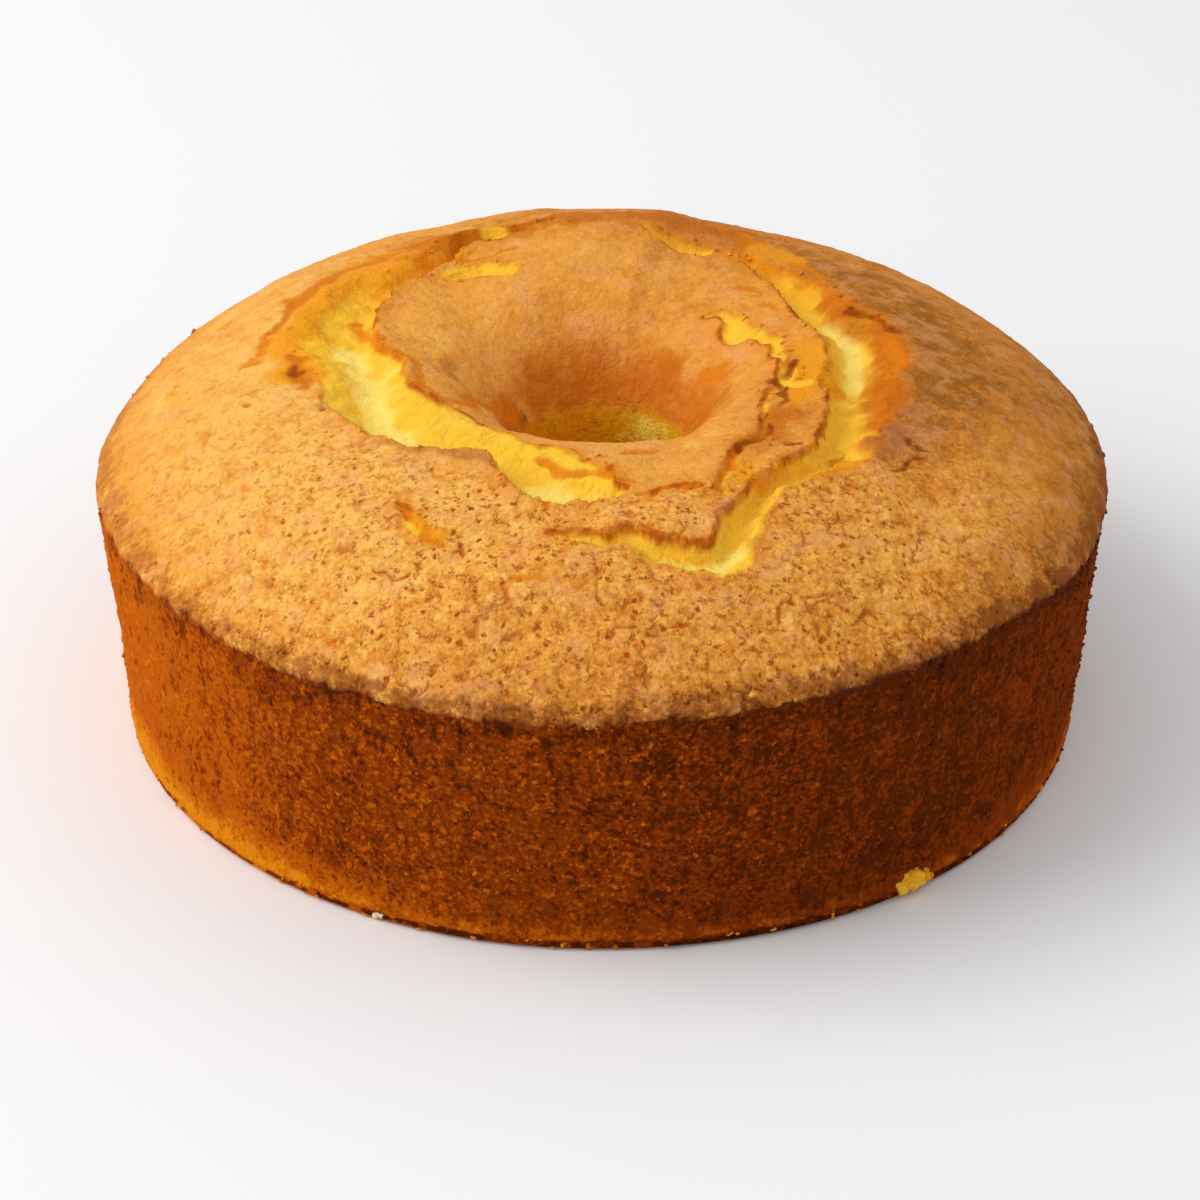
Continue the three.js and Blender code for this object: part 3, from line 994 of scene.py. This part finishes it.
# The noises of the side: size in mm, detail and roughness.
sideNoise = {
    "patches": (6.0, 4.0, 0.6),
    "grit": (1.2, 3.0, 0.65),
    "streaks": (2.8, 3.0, 0.6),
    "flecks": (2.0, 2.5, 0.65),
    "pits": (2.3, 2.5, 0.6),
    "footBreaks": (4.0, 3.0),
    "footPatches": (7.0, 3.0),
}
sideGranule = 1.2  # in mm
sideStreak = 0.35  # how far streaks are stretched upright


def sideColour(tree, place, looseness=None):  # the crust that baked against the tin
    height = combine(tree, "MULTIPLY", addNode(tree, "ShaderNodeSeparateXYZ", {0: place}).outputs[2], 1000.0)
    grainy = product(tree, attributeOf(tree, "grainy"), ramp(tree, height, 3.0, 22.0, 0.6, 1.0))
    belowRim = attributeOf(tree, "belowRim")
    patches, grit, flecks, pits, broken, footPatches = (
        noiseOf(tree, place, *sideNoise[name])
        for name in ("patches", "grit", "flecks", "pits", "footBreaks", "footPatches"))
    streaks = noiseOf(tree, stretched(tree, place, sideStreak), *sideNoise["streaks"])
    middle, own = cellsOf(tree, place, sideGranule)
    grains = total(tree, centred(tree, grit, 0.9), centred(tree, own, 0.16),
                   ramp(tree, middle, 0.35, 0.8, -0.04, 0.16), ramp(tree, flecks, 0.56, 0.68, 0.0, -0.34),
                   ramp(tree, pits, 0.42, 0.33, 0.0, 0.3))
    upper = ramp(tree, belowRim, 1.0, 22.0, 1.0, 0.35)
    streaked = product(tree, ramp(tree, streaks, 0.54, 0.66), upper, 0.42)
    tone = total(tree, attributeOf(tree, "bakeAndShadeSide"), centred(tree, patches, 0.5),
                 product(tree, grains, grainy), streaked, ramp(tree, belowRim, 0.0, 14.0, 0.1, -0.02))

    # the foot: a broken line of painted shade in its groove, with a golden band above it
    wavy = total(tree, height, centred(tree, broken, 2.5))
    band = product(tree, ramp(tree, wavy, 2.4, 3.4), ramp(tree, wavy, 4.4, 7.5, 1.0, 0.0),
                   ramp(tree, footPatches, 0.35, 0.6))
    grooveShade = product(tree, ramp(tree, wavy, 0.7, 1.3), ramp(tree, wavy, 1.9, 2.8, 1.0, 0.0),
                  ramp(tree, broken, 0.4, 0.52))
    tone = total(tree, tone, product(tree, band, -0.32), product(tree, grooveShade, 0.55))
    if looseness is not None:
        tone = total(tree, tone, product(tree, ramp(tree, looseness, 0.0, 1.0, 0.2, -0.3), grainy))
    colour = layered(tree, tone, "sideGold", [(-0.15, 0.25, "sideOrange"), (0.25, 0.62, "sideBrown"),
                                              (0.62, 0.92, "sideDark"), (1.05, 1.5, "sideBlack")])
    return colour, total(tree, grit, product(tree, flecks, 0.8))


def newMaterial(name, roughness, gloss):
    material = bpy.data.materials.new(name)
    material.use_nodes = True
    tree = material.node_tree
    shader = tree.nodes["Principled BSDF"]
    shader.inputs["Roughness"].default_value = roughness
    shader.inputs["Specular IOR Level"].default_value = gloss
    return material, tree, shader, addNode(tree, "ShaderNodeTexCoord").outputs["Object"]


def addBump(tree, shader, height, depth, strength=0.7):  # depth in mm
    bump = addNode(tree, "ShaderNodeBump", {"Height": height, "Strength": strength, "Distance": depth * mm})
    tree.links.new(bump.outputs[0], shader.inputs["Normal"])


# The crumb down the hole, its colours brightened as painted light where the hole lies in shade.
def holeColour(tree, place, inHole):
    p = palette
    crumbs = noiseOf(tree, place, 7.0, 3.0)
    baked = total(tree, attributeOf(tree, "bakeHole"), centred(tree, crumbs, 1.6))
    hole = layered(tree, baked, "holeCrumb", [(-0.25, 0.25, "holeOlive"), (0.3, 0.8, "holeBrown")])
    hole = blend(tree, ramp(tree, inHole, 0.0, 5.0), p["holeWall"], hole)
    pits = ramp(tree, noiseOf(tree, place, 2.2, 3.0), 0.42, 0.3)
    return blend(tree, product(tree, pits, 0.5), hole, p["rust"])


def sideCrustMaterial():
    material, tree, shader, place = newMaterial("sideCrust", 0.88, 0.02)
    colour, grains = sideColour(tree, place)
    inHole = attributeOf(tree, "inHole")
    colour = blend(tree, ramp(tree, inHole, -1.0, 1.0), colour, holeColour(tree, place, inHole))
    tree.links.new(colour, shader.inputs["Base Color"])
    addBump(tree, shader, grains, 0.8)
    return material


def topCrustMaterial():
    material, tree, shader, place = newMaterial("topCrust", 0.8, 0.06)
    p = palette
    flat = stretched(tree, place, topFlatness)
    broad, middling = noiseOf(tree, place, 22.0), noiseOf(tree, place, 6.0, 3.0)
    fine, grit = noiseOf(tree, place, 2.6, 3.0), noiseOf(tree, place, 1.0, 2.0)
    grain, pits = grainsOf(tree, flat)
    band = speckled(tree, attributeOf(tree, "rimBand"), centred(tree, fine, 1.8),
                    centred(tree, middling, 1.8), centred(tree, grit, 1.0))
    bakeAndShadeTop, pitted = attributeOf(tree, "bakeAndShadeTop"), attributeOf(tree, "pitted")

    # the risen crust: grains that are paler on top, browner between them
    mottling = total(tree, centred(tree, middling, 0.3), centred(tree, fine, 1.2), centred(tree, grit, 1.1),
                     centred(tree, grain, -0.22))
    mottling = product(tree, mottling, ramp(tree, pitted, 0.0, 1.0, 0.25, 1.0))
    tone = total(tree, bakeAndShadeTop, centred(tree, broad, 0.4), centred(tree, middling, 0.6), mottling,
                 ramp(tree, band, 0.0, 1.0, 0.0, 0.24))
    top = layered(tree, tone, "paleGold", [(-0.1, 0.35, "gold"), (0.3, 0.65, "tan"),
                                           (0.6, 1.05, "brownTop")])
    # pinkish patches: partly the crust's own blush, partly painted highlight
    blushAndHighlightPatches = ramp(tree, noiseOf(tree, place, 7.0, 2.0), 0.46, 0.7)
    top = blend(tree, product(tree, blushAndHighlightPatches, 0.4), top, p["blushHighlight"])
    spots = ramp(tree, total(tree, noiseOf(tree, place, 3.6, 2.0), centred(tree, fine, 0.3)), 0.56, 0.74)
    top = blend(tree, product(tree, spots, 0.75), top, p["halo"])

    # browner along the rim
    rimTint = blend(tree, ramp(tree, attributeOf(tree, "bakeAndShadeSide"), 0.2, 0.55), p["rimGold"], p["rimBrown"])
    top = blend(tree, ramp(tree, band, 0.15, 1.1, 0.0, 0.55), top, rimTint)

    # its pits and cracks, darker: partly browner crust, partly painted shade in the hollows
    specks = combine(tree, "MAXIMUM", specksOf(tree, flat), product(tree, pits, 1.7))
    cracks = product(tree, cracksOf(tree, flat), pitted, 0.7)
    pitBrowningAndShade = combine(tree, "MAXIMUM", product(tree, specks, pitted, 0.9), cracks)
    top = blend(tree, pitBrowningAndShade, top, blend(tree, ramp(tree, band, 0.0, 0.9), p["pitBrownAndShade"], p["rimPitBrownAndShade"]))

    # bare crumb in the tears: pale in the middle, more orange up the walls, and along the inner edges a dark
    # line, partly the browned crust edge and partly painted shadow under its overhang
    tornEdge, across = attributeOf(tree, "tornEdge"), attributeOf(tree, "across")
    halo = product(tree, ramp(tree, total(tree, tornEdge, centred(tree, middling, 5.0)), -5.0, 0.5), 0.5)
    top = blend(tree, halo, top, p["halo"])
    paleness = total(tree, attributeOf(tree, "pale"), centred(tree, middling, 0.9), centred(tree, fine, 0.3))
    crumb = blend(tree, ramp(tree, paleness, -0.1, 1.0), p["crumbYellow"], p["crumbPale"])
    inwards = total(tree, tornEdge, centred(tree, middling, 5.0), centred(tree, fine, 1.4))
    wall = product(tree, ramp(tree, inwards, -0.5, 2.4, 1.0, 0.0), ramp(tree, across, -0.2, 0.6, 0.8, 0.15))
    crumb = blend(tree, wall, crumb, p["crumbOrange"])
    browned = product(tree, ramp(tree, total(tree, across, centred(tree, middling, 1.6)), 0.0, 0.9),
                      ramp(tree, bakeAndShadeTop, 0.35, 0.85))
    crumb = blend(tree, browned, crumb, p["crumbOrange"])

    edgeNoise = total(tree, tornEdge, centred(tree, fine, 1.6), centred(tree, grit, 0.8))
    colour = blend(tree, ramp(tree, edgeNoise, -0.6, 0.9), top, crumb)
    # the dark line along the inner edges: partly browned crust edge, partly painted shadow under the overhang
    line = product(tree, ramp(tree, edgeNoise, -1.2, 0.0), ramp(tree, edgeNoise, 0.3, 3.0, 1.0, 0.0),
                   ramp(tree, middling, 0.36, 0.56), ramp(tree, across, -0.2, 0.4, 0.9, 0.3))
    colour = blend(tree, line, colour, p["tornRimAndShadow"])
    for kind, mark in topMarks.items():
        low, high = mark["reach"]
        strength = speckled(tree, attributeOf(tree, kind), centred(tree, fine, mark["ragged"]),
                            centred(tree, middling, 1.3 * mark["ragged"]))
        colour = blend(tree, ramp(tree, strength, low, high, 0.0, mark["cover"]), colour, p[mark["tint"]])

    # down the hole, and over the rim
    inHole = attributeOf(tree, "inHole")
    ragged = total(tree, inHole, centred(tree, middling, 6.0))
    colour = blend(tree, ramp(tree, ragged, -1.5, 3.0), colour, holeColour(tree, place, inHole))
    belowRim = attributeOf(tree, "belowRim")
    rimEdge = total(tree, belowRim, centred(tree, fine, 2.4), centred(tree, middling, 4.5))
    sideTint, _ = sideColour(tree, place)
    colour = blend(tree, ramp(tree, rimEdge, -0.4, 2.0), colour, sideTint)
    tree.links.new(colour, shader.inputs["Base Color"])

    height = total(tree, product(tree, fine, 0.6), product(tree, grit, 0.7), product(tree, grain, 0.3))
    addBump(tree, shader, combine(tree, "SUBTRACT", height, product(tree, pitBrowningAndShade, 0.6)), 0.7)
    return material


# Crumbs and flakes that stand proud of the crust or cling to it.
crumbScatter = {
    "sideCrumbs": {"density": 220000.0, "crumbSize": 0.46, "flatness": 0.8, "lift": 0.05, "seed": 3},
    "topFlakes": {"density": 300000.0, "crumbSize": 0.6, "flatness": 0.5, "lift": 0.05, "seed": 5},
}
crumbSpread = (0.4, 2.0)  # smallest and largest crumb, as a share of the crumb size
crumbTilt = 0.7  # how far a crumb may lean, in radians


def scatterTree():
    kinds = {"density": "Float", "crumbSize": "Float", "flatness": "Float", "lift": "Float", "seed": "Int",
             "crust": "Material"}
    tree, source, sockets = geometryTree("crumb scatter", kinds)
    where = addNode(tree, "GeometryNodeInputNamedAttribute", {"Name": "crumbs"}, data_type="FLOAT").outputs[0]
    scattered = addNode(tree, "GeometryNodeDistributePointsOnFaces",
                        {"Mesh": source["Geometry"], "Density": product(tree, where, source["density"]),
                         "Seed": source["seed"]})

    radius = product(tree, source["crumbSize"], mm)
    lump = addNode(tree, "GeometryNodeMeshIcoSphere", {"Radius": 1.0, "Subdivisions": 1})
    rough = addNode(tree, "ShaderNodeTexNoise",
                    {"Vector": addNode(tree, "GeometryNodeInputPosition").outputs[0], "Scale": 1.3})
    push = vectorMath(tree, "SUBTRACT", {0: rough.outputs["Color"], 1: (0.5, 0.5, 0.5)})
    lump = addNode(tree, "GeometryNodeSetPosition", {"Geometry": lump.outputs[0], "Offset": push})

    lift = product(tree, source["lift"], mm)
    offset = vectorMath(tree, "SCALE", {0: scattered.outputs["Normal"], "Scale": lift})
    raised = addNode(tree, "GeometryNodeSetPosition",
                     {"Geometry": scattered.outputs["Points"], "Offset": offset})

    def randomVector(low, high):
        return addNode(tree, "FunctionNodeRandomValue", {"Min": low, "Max": high, "Seed": source["seed"]},
                       data_type="FLOAT_VECTOR").outputs[0]

    spin = randomVector((-crumbTilt, -crumbTilt, 0.0), (crumbTilt, crumbTilt, 2 * math.pi))
    turned = addNode(tree, "FunctionNodeRotateRotation",
                     {0: scattered.outputs["Rotation"],
                      1: addNode(tree, "FunctionNodeEulerToRotation", {0: spin}).outputs[0]},
                     rotation_space="LOCAL").outputs[0]
    smallest, largest = crumbSpread
    stretch = randomVector((smallest,) * 3, (largest,) * 3)
    height = product(tree, radius, source["flatness"])
    size = addNode(tree, "ShaderNodeCombineXYZ", {0: radius, 1: radius, 2: height}).outputs[0]
    scale = vectorMath(tree, "MULTIPLY", {0: stretch, 1: size})
    placed = addNode(tree, "GeometryNodeInstanceOnPoints",
                     {"Points": raised.outputs[0], "Instance": lump.outputs[0], "Rotation": turned,
                      "Scale": scale})
    own = addNode(tree, "FunctionNodeRandomValue", {"Seed": 11}, data_type="FLOAT").outputs[1]
    toned = addNode(tree, "GeometryNodeStoreNamedAttribute",
                    {"Geometry": placed.outputs[0], "Name": "crumbTone", "Value": own},
                    data_type="FLOAT", domain="INSTANCE")
    finishTree(tree, toned.outputs[0], source["crust"])
    return tree, sockets


def sideCrumbMaterial():
    material, tree, shader, place = newMaterial("sideCrumb", 0.88, 0.02)
    colour, grains = sideColour(tree, place, attributeOf(tree, "crumbTone"))
    tree.links.new(colour, shader.inputs["Base Color"])
    addBump(tree, shader, grains, 0.3)
    return material


def looseCrumbMaterial():  # from brown through yellow to nearly white, by each crumb's own tone
    material, tree, shader, place = newMaterial("looseCrumb", 0.8, 0.08)
    fine = noiseOf(tree, place, 1.6, 3.0)
    tone = total(tree, attributeOf(tree, "crumbTone"), centred(tree, fine, 0.25))
    colour = layered(tree, tone, "sideBrown", [(0.0, 0.3, "sideGold"), (0.35, 0.6, "crumbYellow"),
                                               (0.8, 1.0, "whiteCrumb")])
    tree.links.new(colour, shader.inputs["Base Color"])
    addBump(tree, shader, fine, 0.5)
    return material


# Loose crumbs at the foot: angle, height of the middle, size and tone of those that stand out, and how
# many small ones lie all round.
footCrumbs = [
    (306.6, 4.2, 2.5, 0.5), (308.4, 3.4, 2.1, 0.44), (305.3, 3.0, 1.8, 0.54), (307.4, 5.8, 1.4, 0.45),
    (304.4, 2.2, 1.2, 0.42), (309.6, 2.6, 1.2, 0.35), (244.6, 1.6, 1.3, 1.0), (244.0, 1.2, 0.9, 0.9),
]
smallCrumbs = {"count": 150, "height": (0.7, 3.0), "size": (0.3, 0.9), "tone": (0.0, 0.5)}
largeCrumb = 1.6  # above this size, a crumb has finer lumps and more faces
crumbSquash = (0.65, 1.25)
crumbGap = 0.05  # how far all crumbs stay above the floor


def footCrumbMesh():
    draw = np.random.default_rng(19)
    ranges = [(0, 360), smallCrumbs["height"], smallCrumbs["size"], smallCrumbs["tone"]]
    crumbs = footCrumbs + [tuple(draw.uniform(*limits) for limits in ranges)
                           for _ in range(smallCrumbs["count"])]
    form = bmesh.new()
    tones = []
    for angle, height, size, tone in crumbs:
        large = size > largeCrumb
        made = bmesh.ops.create_icosphere(form, subdivisions=4 if large else 2, radius=1.0)["verts"]
        base = cakeForm["baseRadius"] + float(aroundRing(cakeForm["baseReach"], np.array(angle)))
        middle = Vector((*onTop(angle, base - (0.1 if large else 0.75) * size), height))
        squash = draw.uniform(*crumbSquash, 3)
        places = np.array([vertex.co for vertex in made])
        shift = draw.uniform(0, 40)
        rough = 1 + 0.45 * softNoise(*places.T, 0.9, shift)
        if large:
            rough = rough + 0.3 * softNoise(*places.T, 0.35, shift)
        for vertex, bump in zip(made, rough):
            place = Vector(np.array(vertex.co) * squash) * (size * bump) + middle
            place.z = max(place.z, crumbGap)
            vertex.co = place * mm
        tones += [tone] * len(made)
    mesh = bpy.data.meshes.new("footCrumbs")
    form.to_mesh(mesh)
    form.free()
    setFloat(mesh, "crumbTone", np.array(tones))
    return mesh


def addNodes(thing, group, values):  # a modifier with the group's inputs set
    tree, sockets = group
    modifier = thing.modifiers.new(tree.name, "NODES")
    modifier.node_group = tree
    for key, value in values.items():
        modifier[sockets[key]] = value


def replaceMesh(thing, mesh, name):
    thing.modifiers.clear()
    thing.data = mesh
    mesh.name = name
    print(name, len(mesh.polygons), "faces")


def smoothShaded(mesh):
    mesh.polygons.foreach_set("use_smooth", np.ones(len(mesh.polygons), bool))


# The thinning can leave a point a few thousandths of a millimetre under the floor.
def keepAboveFloor(mesh):
    places = np.empty(len(mesh.vertices) * 3)
    mesh.vertices.foreach_get("co", places)
    places[2::3] = np.maximum(places[2::3], 0)
    mesh.vertices.foreach_set("co", places)
    mesh.update()


def bakedPiece(name, points, shown, group, material):
    piece = addObject(name, closedGridMesh(name, points))
    setFloat(piece.data, "shown", shown)
    markFinishes(piece.data)
    addNodes(piece, group, {**reliefSizes[name], "crust": material})
    thin = piece.modifiers.new("thin", "DECIMATE")
    thin.ratio = finalTriangles / (2 * len(piece.data.polygons))
    plain = evaluated(piece)
    keepAboveFloor(plain)
    smoothShaded(plain)
    replaceMesh(piece, plain, name)
    return piece


def scatteredPiece(name, carrier, where, group, material):
    setFloat(carrier.data, "crumbs", where)
    piece = addObject(name, carrier.data)
    addNodes(piece, group, {**crumbScatter[name], "crust": material})
    plain = evaluated(piece)
    markFinishes(plain)
    replaceMesh(piece, plain, name)
    carrier.data.attributes.remove(carrier.data.attributes["crumbs"])
    return piece


def declare(piece, standsForCake=False):
    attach(piece, "root")
    if standsForCake:
        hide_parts("cake")


# Where crumbs cling and flakes stand, in mm.
crumbZones = {
    "sideFrom": (110, 112),
    "sideFoot": (0.8, 3),
    "sideTop": (58, 62),
    "rimFrom": (114, 118.5),
    "rimHeight": 5,
    "tearOutside": 0.6,
    "tearWidth": 1.1,
    "tearAbove": 70,
}


def onSide(mesh):  # how thickly crumbs cling to each point of the side
    x, y, z, angle, radius = polarPoints(mesh)
    thick = smoothStep(radius, *crumbZones["sideFrom"]) * smoothStep(z, *crumbZones["sideFoot"])
    thick = thick * (1 - smoothStep(z, *crumbZones["sideTop"]))
    return thick * aroundRing(sideGrain, angle) ** 2 * (0.8 + 0.5 * softNoise(x, y, z, 9.0, 4.0))


def onTopCrust(mesh):  # how thickly flakes stand at each point of the top: along the rim and the tears
    x, y, z, angle, radius = polarPoints(mesh)
    atRim = np.abs(rimAt(angle)[1] - z) < crumbZones["rimHeight"]
    nearRim = smoothStep(radius, *crumbZones["rimFrom"]) * atRim * aroundRing(topGrain, angle)
    torn = tearAt(*warped(x, y))[0]
    nearTear = np.exp(-((torn + crumbZones["tearOutside"]) / crumbZones["tearWidth"]) ** 2)
    nearTear = nearTear * (z > crumbZones["tearAbove"])
    patches = smoothStep(softNoise(x, y, z, 5.0, 8.0), -0.3, 0.5)
    return np.maximum(0.6 * nearRim, 0.5 * nearTear) * patches


reliefGroup = reliefTree()
topPiece = bakedPiece("topCrust", *topCrustPoints(), reliefGroup, topCrustMaterial())
sidePiece = bakedPiece("sideCrust", *sideCrustPoints(), reliefGroup, sideCrustMaterial())
declare(topPiece, standsForCake=True)
declare(sidePiece, standsForCake=True)

scatterGroup = scatterTree()
declare(scatteredPiece("sideCrumbs", sidePiece, onSide(sidePiece.data), scatterGroup, sideCrumbMaterial()))
declare(scatteredPiece("topFlakes", topPiece, onTopCrust(topPiece.data), scatterGroup,
                       topPiece.data.materials[0]))

footPiece = addObject("footCrumbs", footCrumbMesh())
footPiece.data.materials.append(looseCrumbMaterial())
smoothShaded(footPiece.data)
declare(footPiece)
print("crumbs done")

studio = {
    "floorTone": 0.93,
    "floorSize": 6.0,
    "worldTone": 1.0,
    "worldStrength": 0.68,
    "keyPower": 20.0,
    "keySize": 1.5,
    "keyFrom": (-1.35, -0.1, 1.3),
    "aimHeight": 0.04,
}


def addFloor():
    half = studio["floorSize"] / 2
    mesh = bpy.data.meshes.new("floor")
    corners = [(-half, -half, 0), (half, -half, 0), (half, half, 0), (-half, half, 0)]
    mesh.from_pydata(corners, [], [(0, 1, 2, 3)])
    floor = addObject("floor", mesh)
    material, _, shader, _ = newMaterial("paleFloor", 0.8, 0.1)
    shader.inputs["Base Color"].default_value = (*[studio["floorTone"]] * 3, 1.0)
    mesh.materials.append(material)


def addLight(name, power, size, place):
    light = bpy.data.lights.new(name, "AREA")
    light.energy = power
    light.size = size
    lamp = addObject(name, light)
    lamp.location = place
    aim = Vector((0, 0, studio["aimHeight"])) - Vector(place)
    lamp.rotation_euler = aim.to_track_quat("-Z", "Y").to_euler()


def addWorld():
    world = bpy.data.worlds.new("studio")
    bpy.context.scene.world = world
    world.use_nodes = True
    background = world.node_tree.nodes["Background"]
    background.inputs["Color"].default_value = (*[studio["worldTone"]] * 3, 1.0)
    background.inputs["Strength"].default_value = studio["worldStrength"]
    bpy.context.scene.view_settings.view_transform = "Standard"


# The camera of the photo: angles in degrees, lengths in metres.
photoView = {
    "elevation": 30.61,
    "distance": 0.925,
    "fieldOfView": 18.03,
    "aimX": -0.00031,
    "aimZ": 0.0217,
}


def addCamera():
    view = photoView
    lens = bpy.data.cameras.new("camera")
    lens.angle = math.radians(view["fieldOfView"])
    camera = addObject("camera", lens)
    tilt = math.radians(view["elevation"])
    camera.location = (view["aimX"], -view["distance"] * math.cos(tilt),
                       view["aimZ"] + view["distance"] * math.sin(tilt))
    camera.rotation_euler = (math.pi / 2 - tilt, 0, 0)
    bpy.context.scene.camera = camera


addFloor()
addLight("key", studio["keyPower"], studio["keySize"], studio["keyFrom"])
addWorld()
addCamera()
print("studio ready")
